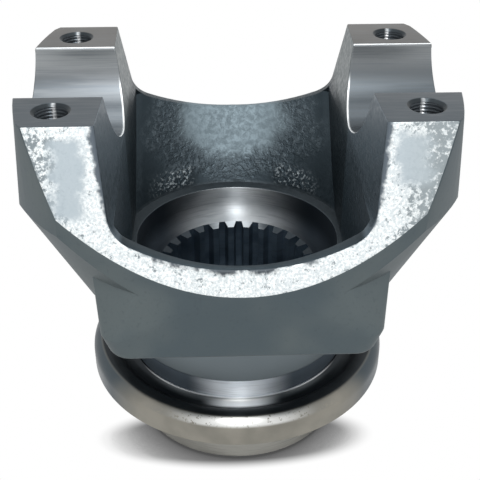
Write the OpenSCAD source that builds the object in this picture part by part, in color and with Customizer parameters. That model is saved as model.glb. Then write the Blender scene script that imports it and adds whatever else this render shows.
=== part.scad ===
// Differential yoke: a forged half-round end yoke with a pressed-on sheet steel dust deflector.
// Millimetres. +Z is the shaft axis, the origin is at the centre of the nose end that the part stands on.
// The bearing caps lie along X at the height joint_h, and the part is alike front and back, left and right.

/* [Bearing saddles] */
// Diameter of the bearing caps that the two half-round saddles hold
cap_d = 49.2; // [44:0.1:54]
// Height of the caps' centre line, which is the plane of the ear tops, above the nose end
joint_h = 158; // [152:0.5:166]
// Chamfer along the straight edges of a saddle
saddle_chamfer = 0.6; // [0.3:0.1:2.5]

/* [Strap bolt holes] */
// Distance between the left and the right pair of holes
hole_dx = 128.4; // [122:0.2:134]
// Distance between the front and the back pair of holes
hole_dy = 73.4; // [70:0.2:78]
// Nominal thread diameter of a strap bolt
bolt_d = 12.7; // [10:0.1:14]
// Drilled diameter, which is the crest of the thread in the hole
bolt_tap_d = 11.5; // [9:0.1:12.6]
// Depth of the full drilled diameter
bolt_depth = 32; // [24:1:36]
// Width of the chamfer at a hole's mouth, beyond the nominal thread
bolt_chamfer = 0.5; // [0.2:0.1:1]

/* [Ears and body] */
// Half the width over the ears at the caps' centre line
ear_reach = 80.9; // [78:0.1:84]
// Radius of the outer side of an ear, seen from above
ear_side_r = 177; // [140:1:220]
// How far an ear's outer side leans outwards at the depth lean_depth
ear_lean = 1.9; // [0.4:0.1:4]
// Depth below the ear tops at which that lean is measured
lean_depth = 30; // [24:1:40]
// Half the depth of an ear at its top
ear_half_y = 49.7; // [48:0.1:52]
// Half the depth of the body at its foot
body_half_y = 73.4; // [70:0.2:76]
// Half the width of the body at its foot
body_half_x = 50.5; // [48:0.1:54]
// How much that half width grows up to where the sloping front ends
body_widen = 2; // [0.5:0.1:4]
// Radius of the front and back of the body, seen from above
body_front_r = 178; // [150:1:300]
// Radius of the upright turned rim round the ears' corners
swing_r = 88; // [86:0.1:90]
// Radius of the corners of the foot
foot_corner_r = 8; // [6:0.5:16]
// Height up to which the foot's sides draw in towards the underside
foot_upright = 8; // [4:1:14]
// How far each side draws in there
foot_draw = 3; // [1:0.5:5]
// Depth below the ear tops at which the sloping front ends
slope_depth = 53.1; // [48:0.5:56]
// Depth of the foot's underside below the ear tops
foot_depth = 79; // [76:0.5:84]
// Radius of the round underside of the ears at the foot
under_foot_r = 65.7; // [62:0.2:68]
// Growth of that radius per millimetre of height
under_flare = 0.503; // [0.45:0.01:0.56]

/* [Trough and pocket] */
// Half the width of the trough between the ear tops, at its middle
trough_half_x = 46.9; // [45:0.1:49]
// Angle by which each half of a trough wall opens towards the front or the back
trough_flare = 1.7; // [0.5:0.1:3]
// Depth of the trough at its middle below the ear tops
trough_depth = 44.3; // [43:0.1:47]
// Radius of the trough's floor
trough_floor_r = 90; // [75:1:105]
// Radius of the trough's lower corners
trough_corner_r = 12; // [8:1:16]
// Draft angle of the trough's walls
trough_draft = 7.5; // [2:0.5:9]
// Radius of the forged pocket at the nut's counterbore
pocket_r = 47; // [45:0.5:50]
// Half the width of the pocket between its side walls at its floor
pocket_half_x = 43.5; // [43:0.1:45]
// Radius of the pocket at the trough's middle depth
pocket_top_r = 67; // [62:0.5:69]
// Largest radius of the pocket, inside the sloping faces
pocket_rim_r = 73.5; // [70:0.5:75]
// Depth of the pocket's floor below the ear tops
pocket_depth = 73.5; // [71:0.5:75]

/* [Nut seat] */
// Diameter of the counterbore for the pinion nut
nut_bore_d = 83.4; // [80:0.2:85]
// Depth of the nut's seat below the ear tops
nut_seat_depth = 86.6; // [84:0.2:89]
// Fillet radius where the counterbore meets the nut's seat
nut_fillet_r = 6; // [1:0.5:7]

/* [Spline] */
// Number of spline teeth
teeth = 30; // [26:1:34]
// Diameter over the bottoms of the spaces between the teeth
spline_major_d = 66.6; // [64:0.1:68]
// Diameter over the crests of the teeth
spline_minor_d = 59.8; // [58:0.1:61]
// Share of the pitch that a space takes at its bottom
space_root_share = 0.34; // [0.28:0.01:0.42]
// Share of the pitch that a space takes at the crests
space_crest_share = 0.66; // [0.56:0.01:0.72]
// Chamfer on the teeth at the nut's seat
spline_chamfer = 1.2; // [0.5:0.1:2]
// Diameter of the plain bore at the nose end
relief_d = 69; // [68:0.2:72]
// Length of the plain bore at the nose end
relief_h = 9; // [6:0.5:14]

/* [Hub and nose] */
// Diameter of the rough neck under the foot
neck_d = 94.4; // [94:0.2:98]
// Diameter of the seat that the deflector is pressed on
seat_d = 93; // [92:0.2:94]
// Height of the top of the machined seat above the nose end
seat_top = 44.4; // [42:0.1:47]
// Diameter of the seal journal at the nose
nose_d = 89.8; // [86:0.2:90.6]
// Height of the top of the seal journal above the nose end
nose_top = 27.5; // [25:0.5:28.5]
// Chamfer at the nose end
nose_chamfer = 1.6; // [0.5:0.1:3]
// Fillet radius between the neck and the foot
neck_fillet_r = 6; // [3:0.5:9]

/* [Dust deflector] */
// Thickness of the sheet
sheet_t = 2.2; // [1.6:0.1:2.6]
// Height of the sheet's top face at the seat above the nose end
shield_top = 36.7; // [34:0.1:38]
// How far the dish lies below the top face at the seat
dish_drop = 1.2; // [0.4:0.1:2]
// Radius at which the dish is lowest
dish_r = 52; // [51:0.5:54]
// How far the rim rises above the top face at the seat
rim_rise = 1.8; // [0.5:0.1:3]
// Outer diameter of the rim and skirt
deflector_d = 127; // [124:0.2:130]
// Radius of the rounded rim
rim_r = 5.6; // [4.5:0.1:6]
// Height of the skirt's lower edge above the nose end
skirt_bottom = 26.5; // [24:0.5:28.5]
// Height of the inner collar's lower edge above the nose end
collar_bottom = 29.1; // [28.5:0.1:31]

/* [Hidden] */
$fn = 96;
eps = 0.5;
foot_inset = 0.3;
above = 30;
cap_r = cap_d / 2;
foot_z = joint_h - foot_depth;
slope_z = joint_h - slope_depth;
pocket_z = joint_h - pocket_depth;
nut_seat_z = joint_h - nut_seat_depth;
nut_bore_r = nut_bore_d / 2;
arc_step = 3;
side_offset = ear_side_r - ear_reach;
front_offset = body_front_r - body_half_y;

// Points on an arc about c with radius r, from angle a to angle b
function arc(c, r, a, b, step = arc_step) =
    let (n = max(2, ceil(abs(b - a) / step)))
    [for (i = [0:n]) c + r * [cos(a + (b - a) * i / n), sin(a + (b - a) * i / n)]];

function mirrored_x(points) = [for (i = [len(points) - 1:-1:0]) [-points[i][0], points[i][1]]];

// A round cone whose radius grows by lean from its top at the ear tops down to lean_depth
module leaning_cylinder(r) {
    drop = joint_h - foot_z;
    translate([0, 0, foot_z])
        cylinder(h = drop + eps, r1 = r + ear_lean * drop / lean_depth, r2 = r - ear_lean * eps / lean_depth, $fn = 180);
}

// The ears and the web between them, before the slopes: two lenses and the turned rim
module upper_blank() {
    intersection() {
        translate([-side_offset, 0, 0])
            leaning_cylinder(ear_side_r);
        translate([side_offset, 0, 0])
            leaning_cylinder(ear_side_r);
        translate([0, 0, foot_z])
            cylinder(h = foot_depth + eps, r = swing_r, $fn = 180);
        translate([0, -front_offset, foot_z])
            cylinder(h = foot_depth + eps, r = body_front_r, $fn = 240);
        translate([0, front_offset, foot_z])
            cylinder(h = foot_depth + eps, r = body_front_r, $fn = 240);
    }
}

// The foot: a rounded rectangle, drawn in at its sides below, that runs up into the curved front
module foot_blank() {
    corner = [body_half_x - foot_corner_r, body_half_y - foot_corner_r];
    hull() {
        for (x = [-1, 1])
            for (y = [-1, 1])
                for (level = [[0, foot_draw], [foot_upright - eps, 0]])
                    translate([x * (corner[0] - level[1]), y * corner[1], foot_z + level[0]])
                        cylinder(h = eps, r = foot_corner_r, $fn = 48);
        translate([0, 0, slope_z - eps])
            linear_extrude(eps)
                intersection() {
                    translate([0, -front_offset])
                        circle(body_front_r - foot_inset, $fn = 240);
                    translate([0, front_offset])
                        circle(body_front_r - foot_inset, $fn = 240);
                    circle(under_foot_r + under_flare * (slope_z - foot_z) - foot_inset, $fn = 180);
                    square(2 * [body_half_x + body_widen, body_half_y], center = true);
                }
    }
}

// Round underside of the ears, turned about the shaft axis
module under_cone() {
    top = joint_h - foot_z;
    translate([0, 0, foot_z])
        cylinder(h = top, r1 = under_foot_r, r2 = under_foot_r + under_flare * top, $fn = 128);
}

// Side view that slopes the front and back faces outwards from the ear tops
module slope_profile() {
    reach = 2 * (ear_reach + ear_lean + above);
    rotate([90, 0, 90])
        linear_extrude(reach, center = true)
            polygon([
                [-body_half_y - eps, foot_z - eps],
                [body_half_y + eps, foot_z - eps],
                [body_half_y + eps, slope_z],
                [body_half_y, slope_z],
                [ear_half_y, joint_h],
                [-ear_half_y, joint_h],
                [-body_half_y, slope_z],
                [-body_half_y - eps, slope_z]
            ]);
}

// Half of the trough's outline, from its middle to the top of its wall
function trough_half() =
    let (
        lean = tan(trough_draft),
        floor_c = [0, joint_h - trough_depth + trough_floor_r],
        wall_n = [cos(trough_draft), -sin(trough_draft)],
        wall_p = [trough_half_x, joint_h],
        inset = wall_p * wall_n - trough_corner_r,
        reach = trough_floor_r - trough_corner_r,
        off = inset - floor_c * wall_n,
        slide = sqrt(reach * reach - off * off),
        corner_c = floor_c + off * wall_n + slide * [-sin(trough_draft), -cos(trough_draft)],
        to_corner = corner_c - floor_c,
        a_floor = atan2(to_corner[1], to_corner[0])
    )
    concat(
        arc(floor_c, trough_floor_r, -90, a_floor),
        arc(corner_c, trough_corner_r, a_floor + 4, -trough_draft, 6),
        [wall_p, [trough_half_x + lean * above, joint_h + above]]
    );

module trough() {
    half = trough_half();
    for (side = [-1, 1])
        rotate([90, 0, side * trough_flare])
            linear_extrude(2 * (body_half_y + above), center = true)
                polygon(concat(mirrored_x([for (i = [1:len(half) - 1]) half[i]]), half));
}

// Forged pocket: a round bowl between two upright side walls, straight above its largest radius
module pocket() {
    rise = pocket_depth - trough_depth;
    flare = (pocket_top_r - pocket_r) / rise;
    rim_z = pocket_z + (pocket_rim_r - pocket_r) / flare;
    intersection() {
        rotate_extrude($fn = 128)
            polygon([
                [0, pocket_z],
                [pocket_r, pocket_z],
                [pocket_rim_r, rim_z],
                [pocket_rim_r, rim_z + rise],
                [0, rim_z + rise]
            ]);
        translate([0, 0, pocket_z + rise])
            cube([2 * pocket_half_x, 4 * pocket_top_r, 2 * rise + 2 * eps], center = true);
    }
}

// Half-round seats for the caps, with chamfered straight edges
module saddles() {
    reach = 2 * (ear_reach + ear_lean + above);
    translate([0, 0, joint_h])
        rotate([90, 0, 90]) {
            cylinder(h = reach, r = cap_r, center = true, $fn = 128);
            linear_extrude(reach, center = true)
                polygon([
                    [-cap_r - saddle_chamfer - eps, eps],
                    [-cap_r + eps, -saddle_chamfer - eps],
                    [cap_r - eps, -saddle_chamfer - eps],
                    [cap_r + saddle_chamfer + eps, eps]
                ]);
        }
}

// One blind hole for a strap bolt, with the drill's point below and a chamfer at its mouth
module bolt_hole() {
    mouth_r = bolt_d / 2 + bolt_chamfer;
    mouth_h = mouth_r - bolt_tap_d / 2;
    translate([0, 0, -bolt_depth])
        cylinder(h = bolt_depth + eps, d = bolt_tap_d, $fn = 64);
    translate([0, 0, -bolt_depth - bolt_tap_d / 4])
        cylinder(h = bolt_tap_d / 4, r1 = bolt_tap_d / 8, r2 = bolt_tap_d / 2, $fn = 64);
    translate([0, 0, -mouth_h])
        cylinder(h = mouth_h + eps, r1 = bolt_tap_d / 2, r2 = mouth_r + eps, $fn = 64);
}

module bolt_holes() {
    for (x = [-1, 1])
        for (y = [-1, 1])
            translate([x * hole_dx / 2, y * hole_dy / 2, joint_h])
                bolt_hole();
}

// Straight-sided outline of the bore with all its tooth spaces
module spline_outline() {
    pitch = 360 / teeth;
    root_r = spline_major_d / 2;
    crest_r = spline_minor_d / 2;
    a_root = pitch * space_root_share / 2;
    a_crest = pitch * space_crest_share / 2;
    polygon([
        for (i = [0:teeth - 1])
            each [
                crest_r * [cos(90 + i * pitch - a_crest), sin(90 + i * pitch - a_crest)],
                root_r * [cos(90 + i * pitch - a_root), sin(90 + i * pitch - a_root)],
                root_r * [cos(90 + i * pitch + a_root), sin(90 + i * pitch + a_root)],
                crest_r * [cos(90 + i * pitch + a_crest), sin(90 + i * pitch + a_crest)]
            ]
    ]);
}

// Everything that is bored along the shaft axis: nut counterbore, spline and plain bore
module shaft_bore() {
    crest_r = spline_minor_d / 2;
    translate([0, 0, -eps])
        linear_extrude(nut_seat_z + 2 * eps)
            spline_outline();
    translate([0, 0, -eps])
        cylinder(h = relief_h + eps, d = relief_d);
    translate([0, 0, nut_seat_z - spline_chamfer])
        cylinder(h = spline_chamfer + eps, r1 = crest_r, r2 = crest_r + spline_chamfer + eps);
    rotate_extrude()
        polygon(concat(
            [[0, nut_seat_z]],
            arc([nut_bore_r - nut_fillet_r, nut_seat_z + nut_fillet_r], nut_fillet_r, -90, 0, 15),
            [[nut_bore_r, pocket_z + eps], [0, pocket_z + eps]]
        ));
}

// Neck, deflector seat and seal journal, with a fillet under the foot
module hub() {
    neck_r = neck_d / 2;
    rotate_extrude()
        polygon(concat(
            [
                [0, 0],
                [nose_d / 2 - nose_chamfer, 0],
                [nose_d / 2, nose_chamfer],
                [nose_d / 2, nose_top],
                [seat_d / 2, nose_top],
                [seat_d / 2, seat_top],
                [neck_r, seat_top + (neck_d - seat_d) / 2]
            ],
            arc([neck_r + neck_fillet_r, foot_z - neck_fillet_r], neck_fillet_r, 180, 90, 15),
            [[neck_r + neck_fillet_r, foot_z + eps], [0, foot_z + eps]]
        ));
}

module yoke() {
    color([0.42, 0.46, 0.48])
        difference() {
            union() {
                intersection() {
                    slope_profile();
                    union() {
                        foot_blank();
                        intersection() {
                            upper_blank();
                            under_cone();
                        }
                    }
                }
                hub();
            }
            trough();
            pocket();
            saddles();
            bolt_holes();
            shaft_bore();
        }
}

// Pressed sheet: inner collar, shallow dish, rounded rim and skirt
module dust_deflector() {
    seat_r = seat_d / 2;
    rim_c = [deflector_d / 2 - rim_r, shield_top + rim_rise - rim_r];
    bend_r = 2 * sheet_t;
    dish_z = shield_top - dish_drop;
    color([0.55, 0.54, 0.50])
        rotate_extrude($fn = 128)
            polygon(concat(
                [[seat_r, collar_bottom], [seat_r, shield_top - sheet_t / 4], [seat_r + sheet_t / 4, shield_top]],
                [[seat_r + bend_r / 2, shield_top - dish_drop / 4], [dish_r - bend_r / 2, dish_z + dish_drop / 8]],
                [[dish_r, dish_z], [dish_r + bend_r / 4, dish_z + dish_drop / 8]],
                arc(rim_c, rim_r, 130, 0, 10),
                [[deflector_d / 2, skirt_bottom], [deflector_d / 2 - sheet_t, skirt_bottom]],
                arc(rim_c, rim_r - sheet_t, 0, 130, 15),
                [[dish_r, dish_z - sheet_t], [seat_r + bend_r, dish_z - sheet_t]],
                arc([seat_r + bend_r, dish_z - bend_r], bend_r - sheet_t, 90, 180, 15),
                [[seat_r + sheet_t, collar_bottom]]
            ));
}

yoke();
dust_deflector();
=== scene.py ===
# %% [markdown]
# # A differential yoke, dressed on its CAD frame
# A heavy forging ends a drive shaft: two ears hold the bearing caps of a joint, a trough between them
# lets the joint swing, and a splined bore below fits the pinion. A thin pressed ring keeps dust off the
# oil seal. The CAD model already has the true shape, so this lesson adds what a drawing leaves out:
# softened edges, threads, machining marks, forging skin, and light.

# %% Load the frame
import math

import bmesh
import bpy
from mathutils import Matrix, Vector


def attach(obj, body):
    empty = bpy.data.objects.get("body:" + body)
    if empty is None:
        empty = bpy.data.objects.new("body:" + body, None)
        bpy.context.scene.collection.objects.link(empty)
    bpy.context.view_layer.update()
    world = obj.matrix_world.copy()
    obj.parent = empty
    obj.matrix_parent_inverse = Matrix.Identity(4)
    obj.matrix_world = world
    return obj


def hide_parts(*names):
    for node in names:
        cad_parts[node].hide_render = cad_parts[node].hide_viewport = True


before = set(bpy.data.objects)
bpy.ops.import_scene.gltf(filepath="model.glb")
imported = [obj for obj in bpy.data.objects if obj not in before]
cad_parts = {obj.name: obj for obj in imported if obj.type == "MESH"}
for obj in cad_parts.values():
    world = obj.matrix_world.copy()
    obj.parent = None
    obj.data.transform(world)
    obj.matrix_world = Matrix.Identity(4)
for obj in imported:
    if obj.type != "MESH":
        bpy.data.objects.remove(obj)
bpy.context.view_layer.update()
MM = 0.001
print("nodes:", sorted(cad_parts))

# %% [markdown]
# ## Sizes that several steps share
# The CAD source is drawn from named sizes. Those that a finish or a new piece has to meet are repeated
# here in millimetres, with the nose of the yoke at height 0 and the shaft axis at x = y = 0.

# %% Name the sizes
EAR_TOP = 158.0
SADDLE_R = 24.6
HOLE_X, HOLE_Y = 64.2, 36.7
TAP_R, TAP_DEPTH = 5.75, 32
MOUTH_R = 6.85
TROUGH_HALF = 46.9
TROUGH_LEAN = math.tan(math.radians(7.5))
TROUGH_FLARE = math.tan(math.radians(1.7))
FLOOR_RADIUS = 90
FLOOR_CENTRE = EAR_TOP - 44.3 + FLOOR_RADIUS
POCKET_FLOOR = 84.5
COUNTERBORE_R = 41.7
NUT_SEAT, SEAT_FLAT_R = 71.4, 35.7
RELIEF_R, RELIEF_Z = 34.5, 9.0
FOOT = 79.0
NECK_R = 47.2
SEAT_R, SEAT_TOP = 46.5, 44.4
NOSE_TOP = 27.5
print("ear tops at", EAR_TOP, "mm, nut seat at", NUT_SEAT, "mm")


# %% Helpers for objects and node trees
def add_object(name, data):
    thing = bpy.data.objects.new(name, data)
    bpy.context.scene.collection.objects.link(thing)
    return thing


def feed(tree, socket, value):
    """Links a socket to another one, or sets it to a plain value."""
    if isinstance(value, bpy.types.NodeSocket):
        tree.links.new(value, socket)
    else:
        socket.default_value = value


def put(tree, kind, inputs):
    """Adds a node and feeds its inputs by name."""
    node = tree.nodes.new(kind)
    for name, value in inputs.items():
        feed(tree, node.inputs[name], value)
    return node


def maths(tree, operation, *values):
    node = tree.nodes.new("ShaderNodeMath")
    node.operation = operation
    for socket, value in zip(node.inputs, values):
        feed(tree, socket, value)
    return node.outputs[0]


# %% [markdown]
# ## Camera
# The photograph looks down at the part from the front, 32 degrees above the floor. About forty points
# and four circles measured in it gave the place and the focal length by least squares. A real camera
# has one place and one lens, so both are written here as plain numbers, and the part is never moved.

# %% Place the camera
PICTURE = 480
FOCAL_PX = 895.1
CAMERA_AT = Vector((-9.8, -318.82, 281.83)) * MM
CAMERA_AIM = Vector((1.27, 0, 81.98)) * MM
camera_data = bpy.data.cameras.new("camera")
camera_data.sensor_width = 36
camera_data.lens = FOCAL_PX * camera_data.sensor_width / PICTURE
camera_data.clip_start = 0.01
camera = add_object("camera", camera_data)
camera.location = CAMERA_AT
camera.rotation_euler = (CAMERA_AIM - CAMERA_AT).to_track_quat("-Z", "Y").to_euler()
bpy.context.scene.camera = camera
print("lens in mm:", round(camera_data.lens, 2))

# %% [markdown]
# ## Floor
# A parts picture is taken on white. The floor is one large square, a hair below the nose so that the two
# don't flicker. The last step but one gives it a shader that stays white and keeps a contact shadow.

# %% Floor that keeps the shadow
FLOOR_REACH, FLOOR_Z = 3.0, -0.0002
CORNERS = ((-1, -1), (1, -1), (1, 1), (-1, 1))
floor_mesh = bpy.data.meshes.new("floor")
floor_mesh.from_pydata(
    [(x * FLOOR_REACH, y * FLOOR_REACH, FLOOR_Z) for x, y in CORNERS], [], [(0, 1, 2, 3)]
)
floor = add_object("floor", floor_mesh)
print("floor reaches", FLOOR_REACH, "m each way")


# %% Helpers that write a material as short formulas
def tone(red, green, blue):
    """A colour as a picture editor shows it, 0 to 255, made linear."""
    out = []
    for part in (red, green, blue):
        share = part / 255
        out.append(share / 12.92 if share <= 0.04045 else ((share + 0.055) / 1.055) ** 2.4)
    return (*out, 1.0)


class Finish:
    """One material: each method adds nodes and gives back an output. x, y and z are in mm."""

    def __init__(self, name):
        self.material = bpy.data.materials.new(name)
        self.material.use_nodes = True
        self.tree = self.material.node_tree
        self.shader = self.tree.nodes["Principled BSDF"]
        self.place = self.tree.nodes.new("ShaderNodeTexCoord").outputs["Object"]
        axes = put(self.tree, "ShaderNodeSeparateXYZ", {"Vector": self.place})
        self.x, self.y, self.z = (self.times(axes.outputs[i], 1 / MM) for i in range(3))

    def math(self, operation, *values):
        return maths(self.tree, operation, *values)

    def chain(self, operation, values):
        total = values[0]
        for value in values[1:]:
            total = self.math(operation, total, value)
        return total

    def times(self, *values):
        return self.chain("MULTIPLY", values)

    def plus(self, *values):
        return self.chain("ADD", values)

    def minus(self, first, second):
        return self.math("SUBTRACT", first, second)

    def size(self, value):
        return self.math("ABSOLUTE", value)

    def length(self, first, second):
        squares = [self.math("POWER", self.size(value), 2.0) for value in (first, second)]
        return self.math("SQRT", self.plus(*squares))

    def noise(self, size_mm, detail=3, soft=0.5, stretch=(1, 1, 1), warp=0.0):
        pulled = put(self.tree, "ShaderNodeMapping", {"Vector": self.place, "Scale": stretch})
        inputs = {
            "Vector": pulled.outputs[0],
            "Scale": 1 / (size_mm * MM),
            "Detail": detail,
            "Roughness": soft,
            "Distortion": warp,
        }
        return put(self.tree, "ShaderNodeTexNoise", inputs).outputs["Fac"]

    def ease(self, value, low, high, start=0.0, end=1.0):
        """A soft step from start to end while the value goes from low to high."""
        names = ("Value", "From Min", "From Max", "To Min", "To Max")
        inputs = dict(zip(names, (value, low, high, start, end)))
        node = put(self.tree, "ShaderNodeMapRange", inputs)
        node.interpolation_type = "SMOOTHSTEP"
        return node.outputs[0]

    def fall(self, value, low, high):
        return self.ease(value, low, high, 1, 0)

    def band(self, value, rise, drop):
        """0, then 1 after the rise, then 0 again after the drop."""
        return self.times(self.ease(value, *rise), self.fall(value, *drop))

    def mix(self, share, first, second):
        """Blends two colours. The node's colour sockets are numbers 6 and 7, their result is 2."""
        node = self.tree.nodes.new("ShaderNodeMix")
        node.data_type = "RGBA"
        for socket, value in ((0, share), (6, first), (7, second)):
            feed(self.tree, node.inputs[socket], value)
        return node.outputs[2]

    def bump(self, height, depth_mm, strength=1.0, over=None):
        inputs = {"Height": height, "Distance": depth_mm * MM, "Strength": strength}
        if over is not None:
            inputs["Normal"] = over
        return put(self.tree, "ShaderNodeBump", inputs).outputs[0]

    def brush(self, amount, hole=(0, 0)):
        """Fine grooves round the shaft axis, or round each bolt hole, draw a highlight out."""
        off_x, off_y = (
            self.minus(place, self.times(self.math("SIGN", place), centre))
            for place, centre in zip((self.x, self.y), hole)
        )
        along = put(self.tree, "ShaderNodeCombineXYZ", {"X": self.times(off_y, -1.0), "Y": off_x})
        turn = put(self.tree, "ShaderNodeVectorTransform", {"Vector": along.outputs[0]})
        turn.vector_type = "VECTOR"
        turn.convert_from, turn.convert_to = "OBJECT", "WORLD"
        feed(self.tree, self.shader.inputs["Tangent"], turn.outputs[0])
        feed(self.tree, self.shader.inputs["Anisotropic"], amount)
        feed(self.tree, self.shader.inputs["Anisotropic Rotation"], 0.25)

    def done(self, colour, roughness, normal, metallic=1.0):
        inputs = {"Base Color": colour, "Roughness": roughness, "Metallic": metallic}
        if normal is not None:
            inputs["Normal"] = normal
        for name, value in inputs.items():
            feed(self.tree, self.shader.inputs[name], value)
        print("finish:", self.material.name, "with", len(self.tree.nodes), "nodes")
        return self.material


# %% [markdown]
# ## Forged skin
# Most of the yoke is as it left the forging die: dull grey-blue steel with a skin that is smooth from
# afar and slightly pebbled near by. The colour drifts slowly over the surface. The trough and the bowl
# have a skin of their own. Their walls are painted with the shade that lies in them, as painted shade
# that is darkest beside the corners, with painted light on their front halves and towards their tops, and
# the bowl behind the bore has a lighter field with a ring of coarse skin round it. Each material finds
# these regions from the place of a point in millimetres.

# %% Forged skin, outside
def forged_outside():
    f = Finish("forged_outside")
    drift = f.noise(38, detail=3)
    pebble = f.noise(1.5, detail=3, soft=0.55)
    speck = f.noise(0.5, detail=2)
    colour = f.mix(f.ease(drift, 0.35, 0.65), tone(80, 91, 96), tone(97, 106, 108))
    colour = f.mix(f.ease(pebble, 0.55, 0.75, 0, 0.25), colour, tone(66, 74, 80))
    # Painted light: below the foot the neck is painted lighter, against the shade it lies in.
    neck = f.fall(f.z, FOOT - 5, FOOT)
    colour = f.mix(neck, colour, tone(122, 132, 137))
    rough = f.ease(drift, 0.3, 0.7, 0.5, 0.62)
    fine = f.bump(speck, 0.02, 0.5)
    return f.done(colour, rough, f.bump(pebble, 0.05, 0.5, fine), metallic=0.75)


# %% Forged skin, trough and bowl
FIELD_Z, FIELD_FLATNESS = 109.5, 1.7


def forged_trough():
    f = Finish("forged_trough")
    across = f.size(f.x)
    pebble = f.noise(2.2, detail=4, soft=0.6, warp=0.4)
    speck = f.noise(0.7, detail=3)
    wobble = f.times(f.minus(f.noise(12, detail=2), 0.5), 14)
    above = f.times(f.minus(f.z, FIELD_Z), FIELD_FLATNESS)
    from_middle = f.plus(f.length(across, above), wobble)
    on_end = f.ease(f.y, 26, 42)
    field = f.times(f.fall(from_middle, 18, 30), on_end)
    ring = f.times(f.band(from_middle, (18, 28), (34, 44)), on_end)
    # Partly painted shade: the trough's skin is given a darker tone than the outside skin.
    colour = f.mix(f.ease(f.noise(30, detail=2), 0.3, 0.7), tone(40, 50, 56), tone(54, 64, 70))
    # Painted light on the walls: lighter towards the top, and below, the front half is lighter than the
    # back.
    upper = f.mix(f.ease(f.z, 127, 136), colour, tone(98, 106, 108))
    # Painted shade: the bowl darkens towards its corners by the walls.
    colour = f.mix(f.ease(across, 30, 42), colour, tone(40, 50, 56))
    nearer = f.mix(f.ease(f.z, 98, 150), tone(68, 83, 92), tone(104, 114, 122))
    wall = f.mix(f.ease(f.y, -1.5, 1.5), nearer, upper)
    colour = f.mix(f.ease(across, 40, 42), colour, wall)
    colour = f.mix(field, colour, tone(118, 132, 139))
    coarse = f.ease(f.ease(pebble, 0.5, 0.62), 0, 1, 0.2, 0.8)
    colour = f.mix(f.times(ring, coarse), colour, tone(80, 90, 96))
    rim_patch = f.times(f.band(f.z, (84, 87), (90, 94)), f.band(across, (16, 22), (28, 40)))
    flecks = f.ease(f.noise(1.3, detail=3), 0.52, 0.62)
    colour = f.mix(f.times(rim_patch, flecks), colour, tone(134, 142, 146))
    # Painted light: the flat ring round the pocket floor is painted lighter, so the dark bowl it reflects
    # does not show.
    floor_ring = f.fall(f.z, POCKET_FLOOR + 0.2, POCKET_FLOOR + 1.2)
    colour = f.mix(floor_ring, colour, tone(60, 68, 73))
    rough = f.plus(f.ease(pebble, 0.35, 0.65, 0.34, 0.5), f.times(field, 0.18))
    depth = f.times(pebble, f.plus(0.2, f.times(f.plus(ring, rim_patch), 1.6)))
    return f.done(colour, rough, f.bump(depth, 0.4, 0.9, f.bump(speck, 0.03, 0.5)), metallic=0.8)


# %% [markdown]
# ## Bright slopes
# The sloping faces in front and behind were blasted with shot after forging: millions of small dents
# that sparkle white. The middle of each ear was rubbed smoother and is pale grey-blue. Along the trough a
# smooth dark strip is left, wide at the ear tops and narrow below. The strip follows the trough, so the
# material rebuilds the trough's outline as a distance: to its leaning walls, and to its round floor.

# %% Distance from the trough's outline, in millimetres
def from_trough(f):
    across = f.size(f.x)
    wall = f.plus(f.times(f.minus(f.z, EAR_TOP), TROUGH_LEAN), TROUGH_HALF)
    to_wall = f.minus(across, f.plus(wall, f.times(f.size(f.y), TROUGH_FLARE)))
    to_floor = f.minus(f.length(across, f.minus(f.z, FLOOR_CENTRE)), FLOOR_RADIUS)
    return f.math("SMOOTH_MAX", to_wall, to_floor, 12.0)


# %% Blasted slope
RUB_X = 57.5
BEND_Z = 112


def blasted_slope():
    f = Finish("blasted_slope")
    grain = f.noise(1.7, detail=5, soft=0.72)
    clump = f.minus(f.noise(4.5, detail=3, soft=0.6), 0.5)
    ragged = f.times(clump, 5)
    away = f.plus(from_trough(f), ragged)
    strip = f.ease(f.z, BEND_Z, EAR_TOP, 1.0, 1.6)
    bright = f.ease(f.minus(away, strip), -0.7, 1.0)
    right = f.ease(f.x, 20, 40)
    off = f.size(f.minus(f.size(f.x), RUB_X))
    height = f.plus(f.z, ragged)
    rubbed = f.fall(f.plus(off, f.times(ragged, 2.0)), 3, 8)
    rubbed = f.times(rubbed, f.ease(f.minus(height, f.times(right, 9)), 128, 132))
    rubbed = f.times(rubbed, f.fall(height, 153, 156))
    level = f.minus(f.plus(grain, f.times(clump, 0.35)), f.ease(away, 8, 17, 0.0, 0.1))
    level = f.minus(level, f.times(right, f.ease(away, 5, 10, 0, 0.07)))
    mottle = f.ease(f.noise(0.9, detail=3, soft=0.7), 0.4, 0.6)
    colour = f.mix(mottle, tone(206, 214, 217), tone(242, 246, 246))
    colour = f.mix(f.ease(level, 0.33, 0.43), tone(128, 138, 143), colour)
    colour = f.mix(f.times(rubbed, 0.93), colour, tone(172, 184, 191))
    colour = f.mix(f.times(f.ease(f.x, 50, 62), 0.3), colour, tone(170, 178, 180))
    smooth = f.mix(f.ease(f.z, BEND_Z, 136), tone(58, 66, 73), tone(86, 96, 105))
    colour = f.mix(bright, smooth, colour)
    rough = f.ease(rubbed, 0, 1, 0.5, 0.42)
    depth = f.times(grain, f.times(bright, f.ease(rubbed, 0, 1, 1, 0.12)))
    return f.done(colour, rough, f.bump(depth, 0.3, 0.7), metallic=0.3)


# %% [markdown]
# ## Machined faces
# The cutter leaves the ear tops matt with faint straight lines, the saddles bright with bands that run
# along the bored axis, and the turned parts with fine rings. Each of these is noise that is pulled out
# along the cutter's path, used for colour, roughness and a very shallow bump.

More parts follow.
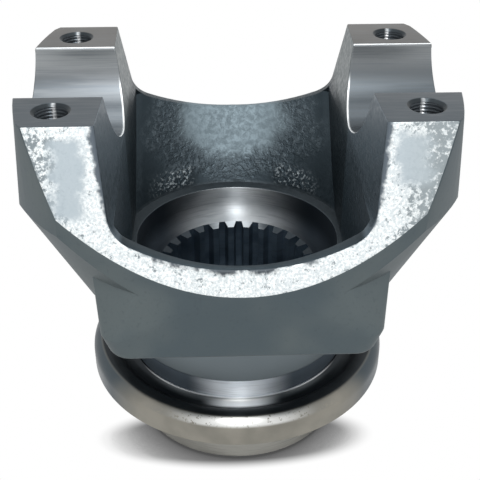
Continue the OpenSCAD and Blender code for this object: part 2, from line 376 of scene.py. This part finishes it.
# %% Milled ear tops
def milled_top():
    f = Finish("milled_top")
    lines = f.noise(0.9, detail=2, stretch=(0.08, 1, 1))
    drift = f.noise(30, detail=2)
    # Painted shade: the front ear tops are painted darker and cooler than the back ones.
    colour = f.mix(f.ease(f.y, -45, 45), tone(74, 82, 88), tone(98, 97, 95))
    colour = f.mix(f.ease(lines, 0.4, 0.7, 0, 0.3), colour, tone(108, 112, 116))
    rough = f.ease(drift, 0.3, 0.7, 0.36, 0.46)
    return f.done(colour, rough, f.bump(lines, 0.012, 0.5), metallic=0.85)


# %% Bored saddles
def bored_saddle():
    f = Finish("bored_saddle")
    bands = f.noise(5, detail=3, soft=0.55, stretch=(0.09, 1, 1))
    lines = f.noise(0.5, detail=2, stretch=(0.02, 1, 1))
    # Painted light and shade: the saddles are painted lighter low down and near the ear tops, and darker
    # on the right-hand side.
    low = f.fall(f.z, 135, 147)
    high = f.ease(f.z, 144, 154)
    colour = f.mix(f.ease(bands, 0.38, 0.62), tone(92, 97, 101), tone(118, 122, 125))
    colour = f.mix(f.times(low, 0.5), colour, tone(132, 140, 146))
    colour = f.mix(f.times(high, 0.85), colour, tone(164, 168, 170))
    darker = f.times(f.ease(f.x, -20, 20, 0, 0.7), f.ease(high, 0, 1, 1, 0.45))
    colour = f.mix(darker, colour, tone(72, 78, 82))
    colour = f.mix(f.ease(lines, 0.45, 0.7, 0, 0.3), colour, tone(92, 100, 108))
    # Painted highlight: a near-white line along the saddle's inner edge, below the ear top.
    painted_edge_highlight = f.times(f.fall(from_trough(f), 0.3, 1.1), f.fall(f.z, 140, 148))
    colour = f.mix(painted_edge_highlight, colour, tone(246, 249, 250))
    rough = f.ease(bands, 0.35, 0.65, 0.34, 0.44)
    return f.done(colour, rough, f.bump(lines, 0.01, 0.4), metallic=0.95)


# %% Bright chamfers
def bright_edge():
    f = Finish("bright_edge")
    drift = f.noise(6, detail=3)
    # The chamfers are bright cut steel, and their near-white tone is partly a painted highlight.
    colour = f.mix(f.ease(drift, 0.3, 0.7), tone(220, 226, 230), tone(246, 249, 250))
    return f.done(colour, f.ease(drift, 0.3, 0.7, 0.34, 0.44), None, metallic=0.9)


# %% Turned counterbore, seat, journal and holes
def turned(
    name, dark, light, rough, ring_mm=0.45, drawn=0.95, metallic=0.95, sides=None, hole=(0, 0)
):
    """Rings round the shaft axis. With sides, the light tones stay as a painted highlight down the
    middle, and painted shade takes over beyond a distance from it.
    """
    f = Finish(name)
    rings = f.noise(ring_mm, detail=2, stretch=(0.03, 0.03, 1))
    drift = f.noise(9, detail=3, stretch=(0.5, 0.5, 1))
    colour = f.mix(f.ease(drift, 0.3, 0.7), dark, light)
    colour = f.mix(f.ease(rings, 0.5, 0.7, 0, 0.25), colour, tone(70, 74, 78))
    if sides:
        near, far, shade = sides
        off = f.size(f.minus(f.size(f.x), hole[0]))
        # Painted shade beyond the middle, leaving a painted highlight down it.
        colour = f.mix(f.ease(off, near, far), colour, shade)
    if drawn:
        f.brush(drawn, hole)
    return f.done(colour, f.ease(drift, 0.3, 0.7, *rough), f.bump(rings, 0.008, 0.4), metallic)


# %% Pressed sheet of the deflector
def pressed_sheet():
    f = Finish("pressed_sheet")
    rings = f.noise(0.8, detail=2, stretch=(0.04, 0.04, 1))
    drift = f.noise(16, detail=3)
    chips = f.noise(1.6, detail=4, soft=0.7)
    radius = f.length(f.x, f.y)
    across, end = f.size(f.x), f.size(f.y)
    slow = f.ease(drift, 0.3, 0.7)
    outside = f.ease(radius, 59.2, 60.6)
    # Painted shade: the dish inside the rim is painted dark.
    inside_tone = f.mix(slow, tone(40, 44, 47), tone(50, 54, 57))
    outside_tone = f.mix(slow, tone(126, 124, 116), tone(146, 143, 134))
    colour = f.mix(outside, inside_tone, outside_tone)
    # Painted light: the flank by the collar is lighter in front and behind.
    flank = f.times(f.fall(radius, 48.5, 50.5), f.ease(end, 30, 46))
    colour = f.mix(flank, colour, tone(96, 101, 104))
    # Painted shade: the outer ring is darker at its left and right sides.
    colour = f.mix(f.times(outside, f.fall(end, 32, 50)), colour, tone(74, 82, 87))
    rim = f.times(f.ease(f.z, 34.8, 36.0), f.ease(radius, 59.6, 60.6))
    # Mostly a painted highlight on the rim in front and behind, whitest in the middle; the chip pattern
    # breaks it as wear.
    rim_highlight_and_wear = f.times(rim, f.times(f.ease(chips, 0.38, 0.43), f.ease(end, 46, 56)))
    rim_highlight_and_wear_tone = f.mix(f.ease(across, 12, 32), tone(214, 215, 213), tone(134, 133, 127))
    colour = f.mix(rim_highlight_and_wear, colour, rim_highlight_and_wear_tone)
    # Painted highlight: a near-white spot on the dish just outside the collar, in front.
    painted_dish_highlight = f.times(f.fall(across, 5, 17), f.band(radius, (47.4, 48.4), (50.6, 52.4)))
    colour = f.mix(f.times(painted_dish_highlight, f.ease(f.y, 0, -20)), colour, tone(252, 253, 253))
    # Painted highlight: a near-white line along the collar's lip, in front and behind.
    lip = f.times(f.ease(f.z, 36.2, 36.4), f.fall(radius, 47.3, 47.8))
    colour = f.mix(f.times(lip, f.ease(end, 24, 40)), colour, tone(248, 250, 252))
    f.brush(0.7)
    return f.done(colour, f.ease(drift, 0.3, 0.7, 0.3, 0.4), f.bump(rings, 0.012, 0.4), metallic=0.9)


# %% Make the finishes of the yoke
BOLT_HOLE = (HOLE_X, HOLE_Y)
finishes = {
    "forged": forged_outside(),
    "trough": forged_trough(),
    "slope": blasted_slope(),
    "top": milled_top(),
    "saddle": bored_saddle(),
    "edge": bright_edge(),
    # Painted highlight: a near-white streak down each hole mouth, with painted shade beside it.
    "mouth": turned(
        "hole_mouth", tone(180, 185, 188), tone(204, 208, 211), (0.46, 0.52),
        sides=(0.1, 1.1, tone(66, 72, 76)), hole=BOLT_HOLE,
    ),
    # Painted highlight down the middle of the counterbore, painted shade at its sides.
    "counterbore": turned(
        "turned_counterbore", tone(156, 162, 166), tone(186, 190, 193), (0.43, 0.5),
        metallic=0.9, sides=(6, 34, tone(50, 58, 66)),
    ),
    "spline": turned(
        "broached_spline", tone(84, 102, 118), tone(108, 126, 142), (0.5, 0.6), drawn=0
    ),
    # Painted highlight down the middle of the seat, painted shade at its sides.
    "seat": turned(
        "turned_seat", tone(214, 222, 230), tone(236, 242, 248), (0.4, 0.46),
        sides=(8, 22, tone(84, 94, 103)),
    ),
    "journal": turned("turned_journal", tone(158, 157, 151), tone(174, 173, 167), (0.42, 0.52)),
}

# %% [markdown]
# ## The yoke with softened edges
# The CAD node is exact but its edges are knife sharp, which no forging or machined part is. A copy of the
# node is merged, its flat triangles are joined, and a Bevel modifier rounds chosen edges: about half a
# millimetre on machined edges, more on forged ones. The walls of the bolt holes and the teeth are taken
# out of the copy, because two later steps make them anew. Modelling the whole yoke again would only risk
# leaving the CAD size.

# %% Which finish a face of the yoke has
NEAR, CLOSE = 0.1, 0.02
EAR_X = 40
HOLE_REACH = 40
CHAMFER_REACH = 2.5
SLOPE_NORMAL_Y, SLOPE_NORMAL_Z = 0.913, 0.408
TROUGH_X, POCKET_REACH = 50, 72


def finish_of(centre, normal):
    x, y, z = centre / MM
    r = math.hypot(x, y)
    to_hole = math.hypot(abs(x) - HOLE_X, abs(y) - HOLE_Y)
    if to_hole < MOUTH_R + NEAR and z > EAR_TOP - HOLE_REACH and normal.z < 0.99:
        tapped = z > EAR_TOP - TAP_DEPTH and abs(normal.z) < 0.1
        return "hole" if to_hole < TAP_R + NEAR and tapped else "mouth"
    if z > EAR_TOP - NEAR / 2:
        return "top"
    to_cap = math.hypot(y, z - EAR_TOP)
    if abs(x) > EAR_X and to_cap < SADDLE_R + NEAR and z > EAR_TOP - SADDLE_R - NEAR:
        return "saddle"
    by_saddle = z > EAR_TOP - CHAMFER_REACH and abs(abs(y) - SADDLE_R) < CHAMFER_REACH
    if abs(x) > EAR_X and by_saddle and 0.3 < normal.z < 0.95:
        return "edge"
    sloping = abs(abs(normal.y) - SLOPE_NORMAL_Y) < 0.02 and abs(normal.z - SLOPE_NORMAL_Z) < 0.03
    if sloping and z > 100:
        return "slope"
    if RELIEF_Z - NEAR < z < NUT_SEAT + CLOSE and r < SEAT_FLAT_R + CLOSE:
        return "teeth"
    if r < RELIEF_R + 0.2 and z < RELIEF_Z:
        return "spline"
    if r < COUNTERBORE_R + 0.2 and z < POCKET_FLOOR - NEAR / 2:
        return "counterbore"
    if z < NOSE_TOP + NEAR / 2 and r < SEAT_R + 0.5:
        return "journal"
    if z < SEAT_TOP + 1 and r < NECK_R + NEAR:
        return "seat"
    inward = normal.x * x + normal.y * y < 0
    if inward and z > FOOT + 1 and abs(x) < TROUGH_X + 1:
        return "trough"
    if z > FOOT + 1 and abs(x) < TROUGH_X and normal.z > 0.3 and r < POCKET_REACH:
        return "trough"
    return "forged"


# %% Merge the copy, join its flats and sort its faces
cad_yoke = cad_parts["yoke"]
yoke_mesh = cad_yoke.data.copy()
yoke_mesh.name = "yoke_dressed"
yoke_mesh.materials.clear()
for finish in finishes.values():
    yoke_mesh.materials.append(finish)
if "custom_normal" in yoke_mesh.attributes:
    yoke_mesh.attributes.remove(yoke_mesh.attributes["custom_normal"])
work = bmesh.new()
work.from_mesh(yoke_mesh)
loose = len(work.verts)
bmesh.ops.remove_doubles(work, verts=work.verts, dist=0.002 * MM)
bmesh.ops.recalc_face_normals(work, faces=work.faces)
order = list(finishes)
for face in work.faces:
    name = finish_of(face.calc_center_median(), face.normal)
    face.material_index = order.index(name) if name in order else len(order)
    face.smooth = True
leaning = [e for e in work.edges if all(abs(face.normal.z) < 0.99 for face in e.link_faces)]
bmesh.ops.dissolve_limit(
    work, angle_limit=math.radians(0.4), edges=leaning, delimit={"MATERIAL"}
)
labels = order + ["cut"]
names = [labels[face.material_index] for face in work.faces]
cut_faces = [face for face, name in zip(work.faces, names) if name == "cut"]
print("merged", loose, "corners to", len(work.verts))
print("faces by finish:", {name: names.count(name) for name in sorted(set(names))})

# %% Choose how far each edge is rounded
FORGED_ROUND = 1.2
MILLED_ROUND = 0.4
SHARP = math.radians(20)
SHADE_SPLIT = math.radians(24)
MACHINED = {"top", "saddle", "edge", "mouth", "counterbore", "seat", "journal"}


def round_of(edge, pair):
    """The share of the forged rounding that an edge between two finishes gets."""
    if len(edge.link_faces) != 2 or edge.calc_face_angle(0) < SHARP:
        return 0.0
    if pair & {"spline", "cut"} or pair <= {"edge", "mouth"}:
        return 0.0
    if pair & MACHINED:
        return MILLED_ROUND / FORGED_ROUND
    height = (edge.verts[0].co.z + edge.verts[1].co.z) / 2 / MM
    if "slope" in pair or pair == {"forged", "trough"} or abs(height - FOOT) < 0.05:
        return 1.0
    return 0.0


name_at = dict(zip((face.index for face in work.faces), names))
weight = work.edges.layers.float.new("bevel_weight_edge")
chosen = {"forged": 0, "machined": 0}
for edge in work.edges:
    share = round_of(edge, {name_at[face.index] for face in edge.link_faces})
    edge[weight] = share
    edge.smooth = bool(share) or edge.calc_face_angle(0) < SHADE_SPLIT
    if share:
        chosen["forged" if share == 1.0 else "machined"] += 1
bmesh.ops.delete(work, geom=cut_faces, context="FACES")
work.to_mesh(yoke_mesh)
work.free()
print("edges to round:", chosen)


# %% Round them and keep the result as a plain mesh
def settle(piece):
    """Turns a piece with modifiers into a plain mesh at the origin."""
    bpy.context.view_layer.update()
    seen = piece.evaluated_get(bpy.context.evaluated_depsgraph_get())
    plain = bpy.data.meshes.new_from_object(seen)
    piece.modifiers.clear()
    piece.data = plain
    print(piece.name, "has", len(plain.polygons), "faces")


yoke = add_object("yoke_steel", yoke_mesh)
rounding = yoke.modifiers.new("rounding", "BEVEL")
rounding.limit_method = "WEIGHT"
rounding.width = FORGED_ROUND * MM
rounding.segments = 2
rounding.use_clamp_overlap = False
rounding.harden_normals = False
shading = yoke.modifiers.new("shading", "WEIGHTED_NORMAL")
shading.keep_sharp = True
shading.weight = 80
settle(yoke)
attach(yoke, "root")
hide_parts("yoke")

# %% [markdown]
# ## Threads of the strap bolt holes
# Each ear top has two tapped holes. A tap cuts one helical groove; its crests stand at the drilled size.
# Geometry Nodes follow a spiral curve with a small three-sided profile, set against a plain wall at the
# nominal size, and put the result at the four hole centres. A texture could not show the turns in the
# streak of painted highlight that runs down each hole.

# %% Helpers that open a node tree and run it on a piece
def new_tree(name, numbers):
    """A tree with geometry in and out, and one named input for each number."""
    tree = bpy.data.node_groups.new(name, "GeometryNodeTree")
    for side in ("INPUT", "OUTPUT"):
        tree.interface.new_socket("Geometry", in_out=side, socket_type="NodeSocketGeometry")
    for label, number in numbers.items():
        kind = "NodeSocketInt" if isinstance(number, int) else "NodeSocketFloat"
        socket = tree.interface.new_socket(label, in_out="INPUT", socket_type=kind)
        socket.default_value = number
    return tree, tree.nodes.new("NodeGroupInput").outputs, tree.nodes.new("NodeGroupOutput")


def run_tree(piece, tree, numbers):
    """Sets the inputs by their sockets' identifiers, then keeps the result as a plain mesh."""
    modifier = piece.modifiers.new(tree.name, "NODES")
    modifier.node_group = tree
    for item in tree.interface.items_tree:
        if item.in_out == "INPUT" and item.name in numbers:
            modifier[item.identifier] = numbers[item.name]
    settle(piece)


# %% Build the thread's node tree
THREAD_DEPTH = 26.0
THREAD_DROP = 1.0
HELIX_STEPS, WALL_SIDES = 40, 48
thread_sizes = {
    "Crest radius": TAP_R * MM,
    "Wall radius": 6.35 * MM,
    "Pitch": 1.27 * MM,
    "Depth": THREAD_DEPTH * MM,
}


def thread_tree(material):
    tree, given, result = new_tree("bolt_thread", thread_sizes)
    pitch, depth = given["Pitch"], given["Depth"]
    profile_r = maths(tree, "DIVIDE", pitch, math.sqrt(3))
    helix_r = maths(tree, "ADD", given["Crest radius"], profile_r)
    helix = put(tree, "GeometryNodeCurveSpiral", {
        "Resolution": HELIX_STEPS,
        "Rotations": maths(tree, "DIVIDE", depth, pitch),
        "Start Radius": helix_r,
        "End Radius": helix_r,
        "Height": depth,
    })
    upright = put(tree, "GeometryNodeSetCurveNormal", {"Curve": helix.outputs[0]})
    upright.mode = "Z_UP"
    profile = put(tree, "GeometryNodeCurvePrimitiveCircle", {"Resolution": 3, "Radius": profile_r})
    swept = put(tree, "GeometryNodeCurveToMesh", {
        "Curve": upright.outputs[0],
        "Profile Curve": profile.outputs[0],
        "Fill Caps": True,
    })
    wall = put(tree, "GeometryNodeMeshCylinder", {
        "Vertices": WALL_SIDES,
        "Radius": given["Wall radius"],
        "Depth": depth,
    })
    wall.fill_type = "NONE"
    half_up = put(tree, "ShaderNodeCombineXYZ", {"Z": maths(tree, "MULTIPLY", depth, 0.5)})
    lifted = put(tree, "GeometryNodeTransform", {
        "Geometry": wall.outputs[0],
        "Translation": half_up.outputs[0],
    })
    inside = put(tree, "GeometryNodeFlipFaces", {"Mesh": lifted.outputs[0]})
    both = tree.nodes.new("GeometryNodeJoinGeometry")
    for part in (swept, inside):
        tree.links.new(part.outputs[0], both.inputs[0])
    at_holes = put(tree, "GeometryNodeInstanceOnPoints", {
        "Points": given["Geometry"],
        "Instance": both.outputs[0],
    })
    real = put(tree, "GeometryNodeRealizeInstances", {"Geometry": at_holes.outputs[0]})
    dressed = put(tree, "GeometryNodeSetMaterial", {
        "Geometry": real.outputs[0],
        "Material": material,
    })
    feed(tree, result.inputs[0], dressed.outputs[0])
    print("thread tree:", len(tree.nodes), "nodes")
    return tree


# %% Put a thread in each hole
# Painted highlight: the thread is near white in a narrow streak down each hole's middle, with painted
# shade beside it.
thread_steel = turned(
    "tapped_thread", tone(240, 243, 245), tone(252, 253, 254), (0.42, 0.5),
    ring_mm=0.3, sides=(0.1, 1.1, tone(104, 111, 117)), hole=BOLT_HOLE,
)
bottom = EAR_TOP - THREAD_DROP - THREAD_DEPTH
centres = bpy.data.meshes.new("hole_centres")
centres.from_pydata(
    [(sx * HOLE_X * MM, sy * HOLE_Y * MM, bottom * MM) for sx in (-1, 1) for sy in (-1, 1)], [], []
)
threads = add_object("bolt_threads", centres)
run_tree(threads, thread_tree(thread_steel), thread_sizes)
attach(threads, "root")

# %% [markdown]
# ## Splined bore
# The photograph shows 27 teeth, while the CAD source has 30, so the copy's teeth are left out and one
# tooth space is modelled here: two flanks, the root between them, a leaning end on each half tooth, and
# the flat ring round it. Geometry Nodes turn it round the axis 27 times and weld the joints.

# %% One tooth space, from the middle of a tooth to the middle of the next
TEETH = 27
FIRST_SPACE = math.radians(90 - 3.2)
HALF_PITCH = math.pi / TEETH
ROOT_R, CREST_R = 33.3, 29.9
ROOT_SHARE, CREST_SHARE = 0.34, 0.64
TOOTH_TOP = 70.3
ENDS_ROW = 2


def at(radius, share, z):
    angle = share * HALF_PITCH
    return (radius * math.cos(angle) * MM, radius * math.sin(angle) * MM, z * MM)


stops = [-1, -CREST_SHARE, -ROOT_SHARE, 0, ROOT_SHARE, CREST_SHARE, 1]
inner = [CREST_R, CREST_R, ROOT_R, ROOT_R, ROOT_R, CREST_R, CREST_R]
tops = [TOOTH_TOP if radius == CREST_R else NUT_SEAT for radius in inner]
rows = [
    [at(RELIEF_R, share, RELIEF_Z) for share in stops],
    [at(radius, share, RELIEF_Z) for radius, share in zip(inner, stops)],
    [at(radius, share, top) for radius, share, top in zip(inner, stops, tops)],
    [at(ROOT_R, share, NUT_SEAT) for share in stops],
    [at(SEAT_FLAT_R, share, NUT_SEAT) for share in stops],
]
wide = len(stops)
space_faces = []
for row in range(len(rows) - 1):
    for i in range(wide - 1):
        if row != ENDS_ROW or CREST_R in inner[i : i + 2]:
            low = row * wide + i
            space_faces.append((low, low + 1, low + 1 + wide, low + wide))
space_mesh = bpy.data.meshes.new("tooth_space")
space_mesh.from_pydata([corner for row in rows for corner in row], [], space_faces)
print("one space has", len(space_faces), "faces")

# %% Turn it round the axis
bore_numbers = {"Teeth": TEETH, "First space": FIRST_SPACE}


def bore_tree(walls, ends, flat):
    tree, given, result = new_tree("splined_bore", bore_numbers)
    spots = put(tree, "GeometryNodeMeshLine", {"Offset": (0, 0, 0), "Count": given["Teeth"]})
    step = maths(tree, "DIVIDE", 2 * math.pi, given["Teeth"])
    index = tree.nodes.new("GeometryNodeInputIndex").outputs[0]
    angle = maths(tree, "MULTIPLY_ADD", index, step, given["First space"])
    turned_by = put(tree, "ShaderNodeCombineXYZ", {"Z": angle})
    round_axis = put(tree, "GeometryNodeInstanceOnPoints", {
        "Points": spots.outputs["Mesh"],
        "Instance": given["Geometry"],
        "Rotation": turned_by.outputs[0],
    })
    real = put(tree, "GeometryNodeRealizeInstances", {"Geometry": round_axis.outputs[0]})
    welded = put(tree, "GeometryNodeMergeByDistance", {
        "Geometry": real.outputs[0],
        "Distance": 0.005 * MM,
    })
    normal = tree.nodes.new("GeometryNodeInputNormal").outputs[0]
    lean = put(tree, "ShaderNodeSeparateXYZ", {"Vector": normal})
    facing_up = maths(tree, "ABSOLUTE", lean.outputs["Z"])
    last = welded.outputs[0]
    for material, least in ((walls, -1.0), (ends, 0.5), (flat, 0.99)):
        dressed = put(tree, "GeometryNodeSetMaterial", {
            "Geometry": last,
            "Selection": maths(tree, "GREATER_THAN", facing_up, least),
            "Material": material,
        })
        last = dressed.outputs[0]
    feed(tree, result.inputs[0], last)
    print("bore tree:", len(tree.nodes), "nodes")
    return tree


# Painted highlight on the tooth ends near the middle line, painted shade towards the sides.
tooth_end = turned(
    "tooth_end", tone(150, 157, 162), tone(184, 190, 194), (0.3, 0.38),
    drawn=0, sides=(1, 15, tone(52, 58, 63)),
)
bore = add_object("spline_teeth", space_mesh)
run_tree(bore, bore_tree(finishes["spline"], tooth_end, finishes["counterbore"]), bore_numbers)
work = bmesh.new()
work.from_mesh(bore.data)
thin = [face for face in work.faces if face.calc_area() < 0.001 * MM * MM]
bmesh.ops.delete(work, geom=thin, context="FACES")
work.to_mesh(bore.data)
work.free()
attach(bore, "root")

# %% [markdown]
# ## Dust deflector
# A pressed ring of sheet: a collar grips the seat, a shallow dish runs out to a rounded rim, and a short
# skirt hangs from it. Its section is turned round the axis in 256 steps, finer than the CAD, so the
# rim's highlight runs clean. The section repeats the CAD sizes, so the ring sits where the node does.

# %% Section of the ring
SHEET = 2.2
SHIELD_TOP = 36.7
DISH_R, DISH_Z = 52.0, 35.5
RING_R, RIM_R = 63.5, 5.6
RIM_CENTRE = (RING_R - RIM_R, SHIELD_TOP + 1.8 - RIM_R)
RIM_ARC = 130
COLLAR_BOTTOM, SKIRT_BOTTOM = 29.1, 26.5
LIP, BREAK = 0.6, 0.3
BEND = 2 * SHEET
INSIDE_R = RING_R - SHEET
COLLAR_R = SEAT_R + SHEET


def arc(centre, radius, start, end, steps):
    points = []
    for i in range(steps + 1):
        angle = math.radians(start + (end - start) * i / steps)
        points.append((centre[0] + radius * math.cos(angle), centre[1] + radius * math.sin(angle)))
    return points


section = [(SEAT_R, COLLAR_BOTTOM)]
section += arc((SEAT_R + LIP, SHIELD_TOP - LIP), LIP, 180, 60, 6)
section += [(47.9, SHIELD_TOP - 0.45), (48.7, DISH_Z + 0.3), (49.6, DISH_Z + 0.06)]
section += [(DISH_R - 1, DISH_Z), (DISH_R, DISH_Z + 0.08)]
section += [(52.8, DISH_Z + 0.35), (53.5, DISH_Z + 0.95)]
section += arc(RIM_CENTRE, RIM_R, RIM_ARC, 0, 20)
section += [(RING_R, 31), (RING_R, SKIRT_BOTTOM + BREAK), (RING_R - BREAK, SKIRT_BOTTOM)]
section += [(INSIDE_R + BREAK, SKIRT_BOTTOM), (INSIDE_R, SKIRT_BOTTOM + BREAK)]
section += arc(RIM_CENTRE, RIM_R - SHEET, 0, RIM_ARC, 10)
section += [(DISH_R, DISH_Z - SHEET), (SEAT_R + BEND, DISH_Z - SHEET)]
section += arc((SEAT_R + BEND, DISH_Z - BEND), BEND - SHEET, 90, 180, 8)
section += [(COLLAR_R, COLLAR_BOTTOM + BREAK), (COLLAR_R - BREAK, COLLAR_BOTTOM)]
print("section points:", len(section))

# %% Turn it
TURN_STEPS = 256
RING_SPLIT = math.radians(40)
count = len(section)
corners, quads = [], []
for step in range(TURN_STEPS):
    turn = 2 * math.pi * step / TURN_STEPS
    corners += [(r * math.cos(turn) * MM, r * math.sin(turn) * MM, z * MM) for r, z in section]
    here, there = step * count, (step + 1) % TURN_STEPS * count
    for i in range(count):
        j = (i + 1) % count
        quads.append((here + i, there + i, there + j, here + j))
ring_mesh = bpy.data.meshes.new("deflector_sheet")
ring_mesh.from_pydata(corners, [], quads)
ring = add_object("deflector_ring", ring_mesh)
work = bmesh.new()
work.from_mesh(ring_mesh)
bmesh.ops.recalc_face_normals(work, faces=work.faces)
for face in work.faces:
    face.smooth = True
for edge in work.edges:
    edge.smooth = edge.calc_face_angle(0) < RING_SPLIT
work.to_mesh(ring_mesh)
work.free()
ring_mesh.materials.append(pressed_sheet())
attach(ring, "root")
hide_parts("dust_deflector")
print("ring faces:", len(ring_mesh.polygons))

# %% [markdown]
# ## Light
# The photograph's highlights lie on the middle line: a streak in each bolt hole, one down the
# counterbore's back wall, and one on the rim of the ring. So the main lamp stands straight in front and
# high up, where all three would send it to the camera, and it is narrow, so that the streaks are too. A
# weaker lamp stands overhead, and the sky does the rest. Rays from the camera and from shiny steel see
# plain white. The light that falls on the part is set apart from it, so that a colour renders about as
# it is written.

# %% World and lamps
SKY_LIGHT = 0.8
PLAIN_WHITE = (1, 1, 1, 1)
AIM = (0, 0, 0.1)


def seen_rays(tree):
    """1 for rays from the camera, from shiny faces and through clear ones, 0 for all others."""
    path = tree.nodes.new("ShaderNodeLightPath").outputs
    first = maths(tree, "MAXIMUM", path["Is Camera Ray"], path["Is Glossy Ray"])
    return maths(tree, "MAXIMUM", first, path["Is Transmission Ray"])


def pick_shader(tree, share, first, second):
    """The first shader where the share is 0, and the second where it is 1."""
    node = tree.nodes.new("ShaderNodeMixShader")
    for socket, value in zip(node.inputs, (share, first.outputs[0], second.outputs[0])):
        tree.links.new(value, socket)
    return node.outputs[0]


def lamp(name, place, size, watts):
    data = bpy.data.lights.new(name, "AREA")
    data.shape = "RECTANGLE"
    data.size, data.size_y = size
    data.energy = watts
    body = add_object(name, data)
    body.location = Vector(place)
    body.rotation_euler = (Vector(AIM) - body.location).to_track_quat("-Z", "Y").to_euler()
    print("lamp", name, watts, "W")


world = bpy.data.worlds.new("studio")
bpy.context.scene.world = world
world.use_nodes = True
sky = world.node_tree
sky.nodes.clear()
dim = put(sky, "ShaderNodeBackground", {"Color": PLAIN_WHITE, "Strength": SKY_LIGHT})
white = put(sky, "ShaderNodeBackground", {"Color": PLAIN_WHITE, "Strength": 1.0})
put(sky, "ShaderNodeOutputWorld", {"Surface": pick_shader(sky, seen_rays(sky), dim, white)})
# The streaks this lamp draws are also painted into the steel as painted highlights.
lamp("key", (0.0, -0.55, 0.95), (0.12, 0.4), 4.5)
lamp("overhead", (0, 0.3, 0.9), (0.5, 0.4), 1)

# %% [markdown]
# ## Floor shader
# Seen by the camera or in the steel, the floor is plain white that darkens where the part stands close
# over it: an Ambient Occlusion node measures how much of the sky is covered within a few centimetres.
# The shadow is kept only where the photograph has one: in an oval in front, and round the nose. All
# other rays meet a matt pale floor, which sends a little light up under the part.

# %% White floor with a soft contact shadow
SHADOW_REACH, SHADOW_POWER = 0.03, 4.2
floor_material = bpy.data.materials.new("floor_white")
floor_material.use_nodes = True
ground = floor_material.node_tree
ground.nodes.clear()
covered = put(ground, "ShaderNodeAmbientOcclusion", {"Distance": SHADOW_REACH})
covered.samples = 16
deepened = maths(ground, "POWER", covered.outputs["AO"], SHADOW_POWER)
lightened = put(ground, "ShaderNodeMapRange", {
    "Value": deepened,
    "From Min": 0.02,
    "From Max": 0.85,
    "To Min": 0.08,
})
spot = ground.nodes.new("ShaderNodeTexCoord").outputs["Object"]


def clear_beyond(middle, half, start, end):
    """0 inside an oval on the floor and 1 outside it. Middle and half size are in metres."""
    flatten = put(ground, "ShaderNodeMapping", {
        "Vector": spot,
        "Location": (-middle[0] / half[0], -middle[1] / half[1], 0),
        "Scale": (1 / half[0], 1 / half[1], 0),
    })
    reach = ground.nodes.new("ShaderNodeVectorMath")
    reach.operation = "LENGTH"
    feed(ground, reach.inputs[0], flatten.outputs[0])
    fade = put(ground, "ShaderNodeMapRange", {
        "Value": reach.outputs["Value"],
        "From Min": start,
        "From Max": end,
    })
    fade.interpolation_type = "SMOOTHSTEP"
    return fade.outputs[0]


front_oval = clear_beyond((-0.002, -0.0305), (0.061, 0.0205), 0.64, 1.02)
round_nose = clear_beyond((0, 0), (0.051, 0.051), 0.85, 1.0)
outside = maths(ground, "MINIMUM", front_oval, round_nose)
clear = maths(ground, "MAXIMUM", lightened.outputs[0], outside)
shown = put(ground, "ShaderNodeEmission", {"Strength": clear})
matt = put(ground, "ShaderNodeBsdfDiffuse", {"Color": (0.8, 0.8, 0.8, 1)})
surface = pick_shader(ground, seen_rays(ground), matt, shown)
put(ground, "ShaderNodeOutputMaterial", {"Surface": surface})
floor_mesh.materials.append(floor_material)
print("floor shader:", len(ground.nodes), "nodes")

# %% [markdown]
# ## Close the scene
# The view transform is set to Standard.

# %% View transform
bpy.context.scene.view_settings.view_transform = "Standard"
